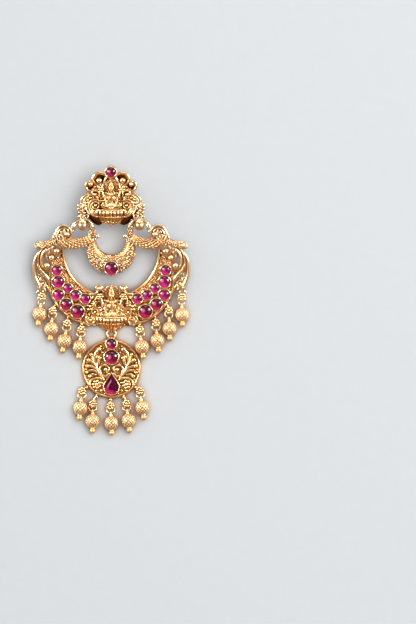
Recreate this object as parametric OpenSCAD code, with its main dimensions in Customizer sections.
// Temple earring lying on its back, front up and ear end towards +Y, in millimetres.
// The soldered upper half leans on its ear post. Disc, link, rings and beads lie on the surface.
// Face frame: x to the right, y up the face from the crescent's lower edge, z out of the face
// from its back. Tables give the right half of what is mirrored.

/* [Lie] */
// Lean of the soldered upper half, propped by the ear post
lean = 10.5; // [9:0.5:12]
// Place of the earring's lowest crescent edge above the middle of its length
edge_y = -9.55; // [-12:0.05:-7]
// Sideways shift that centres the earring between its outer drops
centre_x = 0.1; // [-0.5:0.01:0.5]
// Clearance between pieces that are set or soldered to each other
fit_gap = 0.06; // [0.04:0.01:0.1]

/* [Cast metal] */
// Thickness of the cast plates
plate_t = 1.1; // [0.9:0.1:1.4]
// Radius of the wire round the crescent and the disc
rim_r = 0.38; // [0.3:0.02:0.45]
// Height of the stone settings above the back
bezel_h = 1.9; // [1.7:0.1:2.2]
// Wall of the stone settings
bezel_wall = 0.38; // [0.3:0.02:0.45]
// Depth of a stone below the top of its setting
stone_seat = 0.9; // [0.7:0.1:1]
// Crown of a round stone as a share of its radius
stone_crown = 0.45; // [0.35:0.05:0.55]

/* [Ear post] */
// Height of the post on the plaque, above the crescent's lower edge
post_y = 43.6; // [43:0.1:45]
// Radius of the post
post_r = 0.45; // [0.4:0.05:0.5]
// Radius of the pad that is soldered to the plaque
post_pad_r = 1.6; // [1.2:0.1:2]
// Thickness of that pad
post_pad_t = 0.4; // [0.3:0.05:0.6]

/* [Crescents] */
// Radius of the outer crescent's inner rim
window_r = 15.4; // [15:0.1:15.8]
// Height of that rim's centre
window_y = 26.65; // [26:0.05:27.2]
// Outer radius of the inner crescent
moon_r = 7.84; // [7.4:0.02:8]
// Height of the inner crescent's centre
moon_y = 26.3; // [26:0.05:26.6]
// Radius of the hollow of the inner crescent
hollow_r = 4.77; // [4.5:0.01:5]
// Height of the hollow's centre
hollow_y = 29.7; // [29.4:0.05:30]
// Dome height of the inner crescent
moon_h = 2.4; // [2:0.1:2.8]

/* [Pendant disc] */
// Radius of the disc
disc_r = 9.28; // [9:0.02:9.4]
// Distance of the disc's centre below the crescent's lower edge
disc_drop = 12.06; // [12:0.02:12.2]
// Thickness of the disc
disc_t = 1.3; // [1.2:0.05:1.4]
// Height of its top setting above the other settings, clear of the eyelet behind it
disc_top_lift = 0.6; // [0.55:0.05:0.7]

/* [Rings] */
// Radius of the link between crescent and disc, to the middle of its wire
link_r = 1.4; // [1.36:0.01:1.42]
// Radius of the link's wire
link_wire = 0.3; // [0.26:0.01:0.3]
// Radius of a jump ring, to the middle of its wire
jump_r = 1.25; // [1.2:0.01:1.3]
// Radius of a jump ring's wire
jump_wire = 0.22; // [0.2:0.01:0.23]
// Radius of an eyelet on the rim, to the middle of its wire
eyelet_r = 0.65; // [0.64:0.01:0.68]
// Radius of an eyelet's wire
eyelet_wire = 0.22; // [0.2:0.01:0.23]
// Radius of the loop on a bead, to the middle of its wire
loop_r = 0.55; // [0.54:0.01:0.6]
// Radius of that loop's wire
loop_wire = 0.2; // [0.17:0.01:0.2]

/* [Bead drops] */
// Radius of a bead
bead_r = 2.28; // [2.1:0.02:2.3]
// Radius of the small ball below a bead
tip_r = 0.92; // [0.8:0.02:1]
// Radius of a rosette
rosette_r = 1.1; // [1:0.05:1.2]

/* [Hidden] */
fine = 64;
// Sides of a stone's collar, where it is part of a casting
collar_sides = 11;
gold = "goldenrod";
ruby = "mediumvioletred";

function two_digits(i) = i < 10 ? str("0", i) : str(i);

// Round settings as x, y, stone radius
crescent_settings = [
    [17.35, 20.0, 1.54], [16.95, 16.25, 1.79], [16.95, 12.05, 1.66],
    [14.4, 8.9, 1.79], [10.85, 6.6, 2.05]];
inner_row_settings = [[13.9, 14.2, 1.44], [11.4, 12.0, 1.5], [8.35, 10.8, 1.5]];
plaque_setting = [0, 51.6, 1.54];
moon_setting = [0, 20.8, 2.0];
// The disc's settings are measured from the disc's centre
disc_top_setting = [0, 7.9, 1.57];
disc_middle_setting = [0, 3.68, 2.14];
// Pear setting: height of its round end's centre, radius there, height of its point
pear_y = -5.9;
pear_r = 2.3;
pear_tip = -1.7;

// Drops of the crescent: bead x, bead y from the crescent's edge, lean of the drop, height of
// its eyelet above the surface, and x, y where the eyelet's stem is soldered to the rim
crescent_drops = [
    [-22.95, 5.4, -8, 3.1, -21.7, 13.4], [-19.25, 0.65, -5, 2.2, -17.3, 9.3],
    [-15.05, -3.2, -9, 1.5, -13.7, 5.6], [-10.15, -5.1, -5, 1.2, -9.4, 3.1],
    [9.8, -5.05, 7.5, 1.2, 9.0, 3.0], [14.75, -3.05, 5.5, 1.5, 13.7, 5.6],
    [18.6, 0.8, 2, 2.2, 17.3, 9.3], [22.65, 5.2, 2, 3.1, 21.7, 13.4]];
// Drops of the disc, whose stems point at its centre: the first four columns alone
disc_eyelet_z = 1.0;
disc_drops = [
    [-9.9, -24.65, -5.5, disc_eyelet_z], [-6.0, -28.8, 0, disc_eyelet_z],
    [0, -29.45, 3, disc_eyelet_z], [5.45, -28.65, 7, disc_eyelet_z],
    [9.9, -24.5, 9, disc_eyelet_z]];
drops = concat(crescent_drops, disc_drops);

// Running clearance of a wire in its eyelet
run = 0.05;
// Depth of a scroll wire's middle below the face of the plate it is cast on
sink = 0.06;
disc_bezel = disc_t + 0.8;
post_length = (post_y - post_r) * tan(lean);
// Reach from an eyelet's centre to a bead loop's centre, along the drop
ring_slack_top = eyelet_r - eyelet_wire - jump_wire - run;
ring_slack_low = loop_r - loop_wire - jump_wire - run;
ring_reach = ring_slack_top + 2 * jump_r + ring_slack_low;
// Distance of the bead's centre from its loop's centre
bead_reach = bead_r + loop_r + loop_wire + 0.1;
link_slack = eyelet_r - eyelet_wire - link_wire - run;
link_z = eyelet_r + eyelet_wire;
link_y = 0.4 - link_r;

function unit(v) = v / norm(v);

// A named point list read past its ends, for the smooth curve
function beyond(p, i) =
    i < 0 ? 2 * p[0] - p[1] : i >= len(p) ? 2 * p[len(p) - 1] - p[len(p) - 2] : p[i];

// Smooth curve through points, each span cut into steps
function smooth(p, steps = 3) = concat(
    [for (i = [0:len(p) - 2]) for (s = [0:steps - 1])
        let (t = s / steps, a = beyond(p, i - 1), b = p[i], c = p[i + 1], d = beyond(p, i + 2))
        (2 * b + (c - a) * t + (2 * a - 5 * b + 4 * c - d) * t * t
            + (3 * b - a - 3 * c + d) * t * t * t) / 2],
    [p[len(p) - 1]]);

// Spiral round an eye, from radius r1 at angle a to radius r2 after the sweep
function spiral(x, y, r1, r2, a, sweep, steps = 8) =
    [for (i = [0:steps]) let (t = i / steps, r = r1 + (r2 - r1) * t, b = a + sweep * t)
        [x + r * cos(b), y + r * sin(b)]];

// Direction of a flat path at one of its points
function heading(path, i) =
    unit(path[min(i + 1, len(path) - 1)] - path[max(i - 1, 0)]);

// Round bar along a flat path at height z, with a radius for each point
module tube(path, z, radii, sides = 5) {
    n = len(path);
    rings = [for (i = [0:n - 1]) for (k = [0:sides - 1])
        let (h = heading(path, i), b = 360 * k / sides)
        [path[i].x - h.y * radii[i] * cos(b), path[i].y + h.x * radii[i] * cos(b),
         z + radii[i] * sin(b)]];
    walls = [for (i = [0:n - 2]) for (k = [0:sides - 1])
        let (m = (k + 1) % sides)
        [i * sides + k, (i + 1) * sides + k, (i + 1) * sides + m, i * sides + m]];
    polyhedron(rings, concat(walls,
        [[for (k = [0:sides - 1]) k], [for (k = [sides - 1:-1:0]) (n - 1) * sides + k]]));
}

// Wire along a flat path, with its radius going evenly from r1 to r2
module wire(path, z, r1, r2, sides = 5) {
    last = len(path) - 1;
    tube(path, z, [for (i = [0:last]) r1 + (r2 - r1) * i / last], sides);
}

// Small cast ball
module ball(x, y, z, r, sides = 6) translate([x, y, z]) sphere(r, $fn = sides);

// Rounded limb, leaf or petal between two balls, each given as x, y, z, radius
module lobe(a, b, sides = 5) hull() {
    ball(a[0], a[1], a[2], a[3], sides);
    ball(b[0], b[1], b[2], b[3], sides);
}

// Flat leaf or petal from a to b, widest in its middle
module petal(a, b, z, r) tube([a, (a + b) / 2, b], z, [r * 0.6, r, r * 0.35], 4);

// Both halves of what is mirrored about the middle line
module both_sides() {
    children();
    mirror([1, 0, 0]) children();
}

// Places a piece that lies flat, and one that is part of the leaning face
module lying() translate([centre_x, edge_y, 0]) children();
module leaning() lying() rotate([lean, 0, 0]) children();

// Collar of a round setting, standing on the plate
module collar(s, base = 0, top = bezel_h) translate([s[0], s[1], base])
    cylinder(r = s[2] + fit_gap + bezel_wall, h = top - base, $fn = collar_sides);

// Hole of a round setting, its flats clear of the stone
module seat(s, top = bezel_h) translate([s[0], s[1], top - stone_seat])
    cylinder(r = (s[2] + fit_gap) / cos(180 / collar_sides), h = stone_seat + 1, $fn = collar_sides);

// Round stone with a straight girdle and a true dome
module cabochon(s, top = bezel_h) color(ruby) translate([s[0], s[1], top - stone_seat + fit_gap]) {
    girdle = stone_seat - fit_gap - 0.15;
    crown = s[2] * stone_crown;
    ball_r = (s[2] * s[2] + crown * crown) / (2 * crown);
    cylinder(r = s[2], h = girdle, $fn = fine);
    translate([0, 0, girdle]) intersection() {
        translate([0, 0, crown - ball_r]) sphere(ball_r, $fn = fine);
        cylinder(r = s[2], h = crown, $fn = fine);
    }
}

// Wire ring standing across the drop, its hole facing sideways
module eye(r, wire_r) rotate([0, 90, 0])
    rotate_extrude($fn = fine) translate([r, 0]) circle(wire_r, $fn = 32);

// The same ring where it is part of a casting, with few sides
module cast_eye() rotate([0, 90, 0])
    rotate_extrude($fn = 8) translate([eyelet_r, 0]) circle(eyelet_wire, $fn = 4);

// Drop number i: slope of its jump ring, distance of its eyelet from its bead, place of that
// eyelet, and place where the eyelet's stem is soldered on
function fall(i) = asin((drops[i][3] - bead_r) / ring_reach);
function eyelet_back(i) = bead_reach + ring_reach * cos(fall(i));
function eyelet_at(i) =
    [drops[i][0], drops[i][1]] + eyelet_back(i) * [-sin(drops[i][2]), cos(drops[i][2])];
function stem_root(i) = i < len(crescent_drops)
    ? [drops[i][4], drops[i][5]]
    : [0, -disc_drop] + (disc_r - 0.4) * unit(eyelet_at(i) + [0, disc_drop]);

// Places a child at a bead, looking back along its drop
module at_drop(i) lying() translate([drops[i][0], drops[i][1], 0]) rotate([0, 0, drops[i][2]])
    children();

// Eyelet with its stem and rosette, soldered to the rim
module rim_eyelet(i) {
    at_drop(i) translate([0, eyelet_back(i), drops[i][3]]) {
        cast_eye();
        translate([0, 0, eyelet_r + eyelet_wire / 2])
            cylinder(r1 = rosette_r, r2 = rosette_r * 0.7, h = 0.7, $fn = 7);
    }
    back = eyelet_r * [-sin(drops[i][2]), cos(drops[i][2])];
    lying() tube([eyelet_at(i) + back, stem_root(i)], drops[i][3], [0.34, 0.42]);
}

// Seated figure with raised hands that hold blossoms. The crown, face and body follow plain
// proportions, from the seat at y = 0 to the top of the crown at y = h
module figure(x, y, z, h) translate([x, y, z]) {
    u = h / 8;
    lobe([0, 6.9 * u, 0.5, 0.85 * u], [0, 7.7 * u, 0.3, 0.3 * u], 6);
    lobe([0, 6.1 * u, 0.8, 0.75 * u], [0, 5.7 * u, 0.75, 0.6 * u], 8);
    lobe([0, 4.6 * u, 0.4, 0.8 * u], [0, 2.2 * u, 0.4, 0.75 * u], 6);
    lobe([0, 0.7 * u, 0.2, 0.8 * u], [0, 1.2 * u, 0.5, 0.8 * u], 6);
    both_sides() {
        ball(0.95 * u, 3.5 * u, 0.85, 0.72 * u);
        lobe([0.4 * u, 4.7 * u, 0.4, 0.55 * u], [1.35 * u, 4.6 * u, 0.4, 0.5 * u]);
        wire([[1.4 * u, 4.6 * u], [2.5 * u, 3.6 * u], [2.9 * u, 5.2 * u]], 0.4, 0.42 * u, 0.3 * u);
        wire([[1.4 * u, 4.3 * u], [1.9 * u, 2.2 * u]], 0.4, 0.42 * u, 0.3 * u);
        lobe([0.5 * u, 0.6 * u, 0.5, 0.55 * u], [2.1 * u, 1.3 * u, 0.4, 0.68 * u]);
    }
}

// Lotus bowl under a figure: half an egg with a rim of petals and a lower row
module bowl(y, half_w, depth, swell) {
    intersection() {
        translate([0, y, 0]) scale([half_w, depth, swell]) sphere(1, $fn = 12);
        translate([-half_w, y - depth, 0]) cube([2 * half_w, depth, swell]);
    }
    for (i = [-3:3]) {
        a = i / 3.3;
        petal([a * half_w, y + 0.3], [a * half_w * 0.9, y - 1.1],
              swell * sqrt(1 - a * a * 0.8) * 0.9, 0.5);
    }
    for (i = [-1:1]) let (a = i * 36)
        petal([half_w * 0.5 * sin(a), y - depth * 0.5 * cos(a)],
              [half_w * 0.85 * sin(a), y - depth * 0.85 * cos(a)], swell * 0.66, 0.45);
}

// Stud plaque
plaque_edge = [[1.3, 50.2], [3.2, 47.4], [6.2, 46.2], [7.6, 43.6], [7.9, 41.2], [6.8, 38.6], [4.4, 37.2]];
plaque_scrolls = [
    // eye x, eye y, first radius, last radius, first angle, sweep, ball radius
    [3.85, 49.1, 2.5, 0.75, 141, -290, 0.72],
    [6.5, 43.4, 1.35, 0.45, 100, -300, 0.4],
    [4.96, 41.0, 2.0, 0.75, -60, 420, 0.42]];

module stud_plaque() color(gold) leaning() difference() {
    union() {
        linear_extrude(plate_t) {
            edge = smooth(plaque_edge, 2);
            polygon(concat(edge, [for (i = [len(edge) - 1:-1:0]) [-edge[i].x, edge[i].y]]));
        }
        collar(plaque_setting);
        figure(0.1, 39.9, 1.1, 8.3);
        bowl(38.9, 4.6, 4.5, 2.6);
        both_sides() {
            for (s = plaque_scrolls) {
                wire(spiral(s[0], s[1], s[2], s[3], s[4], s[5]), plate_t - sink, 0.54, 0.38, 4);
                ball(s[0], s[1], plate_t + 0.2, s[6]);
            }
            wire(smooth([[7.2, 48.6], [8.0, 47.2], [6.9, 45.9], [5.3, 45.7], [4.0, 46.4]], 2),
                1.1, 0.3, 0.4);
            ball(6.5, 48.0, 1.3, 0.66);
            petal([6.5, 48.0], [7.4, 48.7], plate_t - sink, 0.4);
            ball(3.4, 45.7, 1.5, 0.66);
            wire(smooth([[7.4, 44.4], [9.3, 43.1], [9.4, 41.4], [8.2, 40.5]], 2), 0.9, 0.36, 0.36);
            ball(8.3, 41.9, 1.1, 0.5);
            petal([5.3, 45.0], [4.3, 43.2], 1.2, 0.42);
            wire(smooth([[7.0, 41.6], [7.1, 39.6], [5.0, 37.6]], 2), 1.1, 0.6, 0.75);
        }
    }
    seat(plaque_setting);
}

module ear_post() color(gold) leaning() translate([0, post_y, -fit_gap]) mirror([0, 0, 1]) {
    cylinder(r = post_pad_r, h = post_pad_t, $fn = fine);
    cylinder(r = post_r, h = post_length - fit_gap, $fn = fine);
}

// Peacock, right-hand one. The body is one bar with a radius for each point, from the crest
// over the neck to the wing
peacock_body = [
    // x, y, radius
    [8.3, 36.4, 0.4], [6.9, 35.7, 0.6], [6.3, 34.2, 0.8], [6.15, 32.5, 0.85], [6.6, 30.9, 0.95],
    [7.9, 29.6, 1.2], [10.1, 28.85, 1.35], [12.6, 28.65, 1.45], [15.2, 28.95, 1.45],
    [17.2, 29.9, 1.0]];
peacock_crest = [
    // root x, root y, tip x, tip y
    [8.8, 37.0, 10.5, 37.5], [8.7, 38.0, 10.6, 39.0], [8.9, 39.2, 11.0, 40.9],
    [8.9, 39.4, 10.1, 41.2], [8.5, 37.0, 7.8, 37.9], [8.7, 38.2, 8.2, 39.6],
    [8.8, 36.6, 8.8, 39.6]];

module peacock_bar(extra = 0) {
    path = [for (p = peacock_body) [p.x, p.y]];
    tube(path, 1.5, [for (p = peacock_body) p.z + extra], 6);
}

// Bead on a short stem at the breast, over the horn of the inner crescent
module peacock_breast(extra = 0) {
    ball(4.35, 31.05, 1.5, 0.72 + extra);
    lobe([4.6, 31.1, 1.3, 0.35 + extra], [6.0, 31.6, 1.3, 0.5 + extra]);
}

module peacock() color(gold) leaning() {
    peacock_bar();
    for (leaf = peacock_crest) petal([leaf[0], leaf[1]], [leaf[2], leaf[3]], 1.1, 0.46);
    lobe([8.9, 36.4, 1.3, 0.6], [9.1, 35.2, 1.6, 1.0]);
    ball(9.1, 34.45, 1.8, 1.6, 8);
    wire(smooth([[10.2, 35.5], [12.1, 34.7], [12.3, 32.5]], 2), 1.5, 0.42, 0.16);
    wire(spiral(14.3, 32.0, 3.0, 0.9, -10, 460, 11), 1.3, 0.4, 0.32);
    ball(14.25, 31.95, 1.5, 0.85);
    lobe([18.0, 31.3, 1.2, 0.6], [16.2, 30.2, 1.2, 1.1]);
    lobe([12.6, 30.4, 1.2, 0.7], [15.4, 29.8, 1.3, 1.0]);
    tube([[17.0, 29.6], [19.6, 28.8], [22.3, 28.25], [23.1, 28.1]], 1.4, [0.8, 0.75, 1.0, 1.2], 6);
    peacock_breast();
}

module peacock_left() mirror_in_place() peacock();
module peacock_right() peacock();

// Mirrors a placed piece about the earring's own middle line
module mirror_in_place() translate([2 * centre_x, 0, 0]) mirror([1, 0, 0]) children();

// Inner crescent: a bar that swells from the horns to the bottom, with its front domed
moon_steps = 12;
moon_sweep = 116;

// Middle and half width of the crescent at an angle from straight down
function moon_outer(a) = [moon_r * sin(a), moon_y - moon_r * cos(a)];
function moon_inner(a) = let (b = a * 1.1) [hollow_r * sin(b), hollow_y - hollow_r * cos(b)];

module moon_slice(a) {
    p = moon_outer(a);
    q = moon_inner(a);
    middle = (p + q) / 2;
    half = norm(p - q) / 2;
    swell = moon_h * (0.55 + 0.45 * min(1, half / 2.6));
    translate([middle.x, middle.y, 0])
        rotate([0, 0, atan2(p.y - q.y, p.x - q.x)]) rotate([90, 0, 0])
        linear_extrude(0.02, center = true)
        polygon([[-half, 0], [-half, 0.5], [-half * 0.6, swell * 0.86], [0, swell],
                 [half * 0.6, swell * 0.86], [half, 0.5], [half, 0]]);
}

module inner_crescent() color(gold) leaning() difference() {
    union() {
        for (i = [0:moon_steps - 1]) hull() {
            moon_slice(moon_sweep * (2 * i / moon_steps - 1));
            moon_slice(moon_sweep * (2 * (i + 1) / moon_steps - 1));
        }
        collar(moon_setting, 0, moon_h + 0.5);
    }
    seat(moon_setting, moon_h + 0.5);
    both_sides() {
        peacock_bar(fit_gap);
        peacock_breast(2 * fit_gap);
    }
}

// Outer crescent
outer_rim = [
    [16.1, 26.7], [18.3, 23.2], [19.55, 18.6], [19.5, 13.4], [17.2, 8.6], [12.9, 4.6], [7.2, 2.1]];
side_scrolls = [
    // eye x, eye y, ball radius
    [17.3, 26.3, 0.86], [19.2, 24.2, 0.86], [20.5, 21.45, 0.96]];
figure_scrolls = [
    // eye x, eye y, first radius, last radius, first angle, sweep, ball radius
    [4.96, 6.0, 1.9, 0.7, 10, 400, 0.42], [6.4, 3.9, 1.6, 0.7, 200, 380, 0.45]];

module side_scroll_work() {
    for (s = side_scrolls) ball(s[0], s[1], 1.4, s[2]);
    wire(smooth([[18.3, 27.3], [18.4, 26.2], [17.6, 25.3], [16.4, 25.6]], 2), 1.1, 0.28, 0.36);
    wire(smooth([[19.2, 26.9], [20.7, 25.5], [20.2, 23.9], [19.0, 23.2], [18.2, 23.6]], 2),
        1.1, 0.28, 0.36);
    wire(smooth([[21.3, 26.4], [22.4, 24.6], [22.4, 22.4], [21.2, 20.5], [19.6, 20.4]], 2),
        1.2, 0.45, 0.5);
    wire(smooth([[21.9, 26.2], [24.3, 23.4], [24.6, 18.5], [23.2, 13.7], [24.0, 12.7]], 2),
        1.0, 0.36, 0.3);
    wire(smooth([[23.5, 23.4], [23.1, 20.6], [21.0, 17.9], [20.1, 16.6]], 2), 1.0, 0.3, 0.42);
    petal([22.0, 18.6], [21.6, 14.2], 0.9, 0.36);
    petal([23.4, 14.6], [19.6, 13.4], 0.9, 0.46);
    petal([21.3, 17.8], [24.0, 16.2], 0.9, 0.34);
    petal([18.2, 23.0], [17.5, 25.2], 1.0, 0.5);
}

module figure_scroll_work() {
    for (s = figure_scrolls) {
        wire(spiral(s[0], s[1], s[2], s[3], s[4], s[5]), plate_t - sink, 0.54, 0.38, 4);
        ball(s[0], s[1], plate_t + 0.2, s[6]);
    }
    ball(3.85, 14.2, 1.5, 0.85);
    wire(smooth([[6.9, 12.2], [5.3, 12.3], [4.3, 13.0], [4.2, 14.0]], 2), 1.5, 0.5, 0.34);
    petal([6.3, 11.2], [4.4, 12.1], 1.4, 0.42);
    ball(3.4, 10.7, 1.7, 0.66);
    ball(5.5, 9.2, 1.5, 0.6);
}

module outer_crescent() color(gold) {
    difference() {
        leaning() union() {
            crescent_plate();
            both_sides() {
                wire(smooth(outer_rim, 2), plate_t - sink, rim_r, rim_r);
                wire(window_rim(), plate_t - sink, rim_r, rim_r);
                for (s = concat(crescent_settings, inner_row_settings)) collar(s, 0.5);
                side_scroll_work();
                figure_scroll_work();
            }
            figure(0.1, 4.4, 1.4, 9.6);
            wire(spiral(0.1, 12.2, 2.5, 2.5, -20, 220), 1.2, 0.32, 0.32);
            bowl(4.2, 4.5, 4.0, 3.0);
        }
        leaning() both_sides() for (s = concat(crescent_settings, inner_row_settings)) seat(s);
        link_pocket();
    }
    for (i = [0:7]) rim_eyelet(i);
    lying() translate([0, link_y + link_r + link_slack, link_z]) cast_eye();
}

// Flat crescent between the two rims, with the panel that carries the figure
module crescent_plate() linear_extrude(plate_t)
    both_sides() polygon(concat(midway(smooth(outer_rim, 2)), [[6.9, 2.15], [0, 2.1], [0, 13.4],
        [4.2, 12.9]], midway(window_rim())));

// Points halfway along a path's spans, so that the plate's corners lie between the wire's
function midway(p) = [for (i = [0:len(p) - 2]) (p[i] + p[i + 1]) / 2];

// Inner rim of the right half, from the figure's panel up to the tip of the horn
function window_rim() = spiral(0, window_y, window_r, window_r, -66, 68.9);

// Space behind the bowl for the link and its eyelet
module link_pocket() lying() translate([-2, -2, -1])
    cube([4, 2.95, link_z + link_wire + 0.2 + 1]);

// Pendant disc
disc_leaves = [
    // angle of the leaf, start and end distance from the disc's centre, radius at its end
    [118, 4.4, 7.3, 0.5], [131, 3.6, 7.2, 0.55], [146, 3.2, 6.6, 0.5], [160, 3.4, 7.6, 0.55],
    [174, 3.2, 7.8, 0.5], [138, 2.4, 4.6, 0.5], [158, 2.2, 4.6, 0.5]];
disc_scrolls = [
    // eye x, eye y, first radius, last radius, first angle, sweep, ball radius
    [1.85, -0.1, 1.6, 0.6, 250, 400, 0.5], [6.5, -2.1, 1.8, 0.7, 190, -300, 0.6],
    [4.8, -4.9, 1.9, 0.6, 150, -400, 0.6]];

module pear(extra, height) linear_extrude(height) offset(delta = extra, chamfer = false)
    polygon(concat(pear_edge(16), [[0, pear_tip]]));

// Round end of the pear, from where the straight sides leave it
function pear_edge(steps) =
    let (half = 180 - acos(pear_r / (pear_tip - pear_y)))
    [for (i = [0:steps]) let (a = -90 - half + 2 * half * i / steps)
        [pear_r * cos(a), pear_y + pear_r * sin(a)]];

module pendant_disc() color(gold) {
    lying() translate([0, -disc_drop, 0]) difference() {
        union() {
            rotate_extrude($fn = 36) polygon([[0, 0], [disc_r - 0.15, 0], [disc_r, 0.3],
                [disc_r, disc_t + 0.2], [disc_r - 0.36, disc_t + 0.45], [disc_r - 0.7, disc_t], [0, disc_t]]);
            collar(disc_top_setting, disc_t - sink, disc_bezel + disc_top_lift);
            collar(disc_middle_setting, 0.5, disc_bezel);
            translate([0, 0, 0.5]) pear(fit_gap + bezel_wall, disc_bezel - 0.5);
            both_sides() {
                for (leaf = disc_leaves) rotate([0, 0, 180 - leaf[0]])
                    petal([leaf[2], 0], [leaf[1], 0], disc_t - sink, leaf[3]);
                for (s = disc_scrolls) {
                    wire(spiral(s[0], s[1], s[2], s[3], s[4], s[5]), disc_t - sink, 0.46, 0.34, 4);
                    ball(s[0], s[1], disc_t + 0.2, s[6]);
                }
            }
        }
        seat(disc_top_setting, disc_bezel + disc_top_lift);
        seat(disc_middle_setting, disc_bezel);
        translate([0, 0, disc_bezel - stone_seat]) pear(fit_gap, 2);
    }
    for (i = [8:12]) rim_eyelet(i);
    lying() translate([0, link_y - link_r - link_slack, link_z]) cast_eye();
}

module disc_link() color(gold) lying() translate([0, link_y, link_z])
    rotate_extrude($fn = fine) translate([link_r, 0]) circle(link_wire, $fn = 32);

// Pear stone: girdle, sloping crown facets and a flat table
module disc_pear_stone() color(ruby) lying()
    translate([0, -disc_drop, disc_bezel - stone_seat + fit_gap]) {
        girdle = stone_seat - fit_gap - 0.1;
        pear(0, girdle);
        hull() {
            translate([0, 0, girdle - 0.01]) pear(0, 0.01);
            translate([0, pear_y * 0.38, girdle]) scale([0.62, 0.62, 1]) pear(0, 0.75);
        }
    }

// Jump ring number i, sloping from its eyelet to its bead's loop
module jump_ring(i) color(gold) at_drop(i)
    translate([0, bead_reach + ring_reach * cos(fall(i)), drops[i][3]]) rotate([fall(i), 0, 0])
    translate([0, -ring_slack_top - jump_r, 0])
    rotate_extrude($fn = fine) translate([jump_r, 0]) circle(jump_wire, $fn = 32);

// Bead number i with its loop above and its small ball below
module bead_drop(i) color(gold) at_drop(i) translate([0, 0, bead_r]) {
    sphere(bead_r, $fn = fine);
    translate([0, bead_reach, 0]) eye(loop_r, loop_wire);
    rotate([-90, 0, 0]) cylinder(r = 0.5, h = bead_reach - loop_r, $fn = 32);
    translate([0, 0.12 - bead_r - tip_r, 0]) sphere(tip_r, $fn = fine);
}

stud_plaque();
ear_post();
leaning() cabochon(plaque_setting);  // plaque_stone
peacock_left();
peacock_right();
inner_crescent();
leaning() cabochon(moon_setting, moon_h + 0.5);  // inner_crescent_stone
outer_crescent();
for (i = [0:4]) {
    leaning() cabochon(crescent_settings[i]);
    mirror_in_place() leaning() cabochon(crescent_settings[i]);
}
for (i = [0:2]) {
    leaning() cabochon(inner_row_settings[i]);
    mirror_in_place() leaning() cabochon(inner_row_settings[i]);
}
disc_link();
pendant_disc();
lying() translate([0, -disc_drop, 0]) cabochon(disc_top_setting, disc_bezel + disc_top_lift);  // disc_top_stone
lying() translate([0, -disc_drop, 0]) cabochon(disc_middle_setting, disc_bezel);  // disc_middle_stone
disc_pear_stone();
for (i = [0:12]) {
    jump_ring(i);
    bead_drop(i);
}
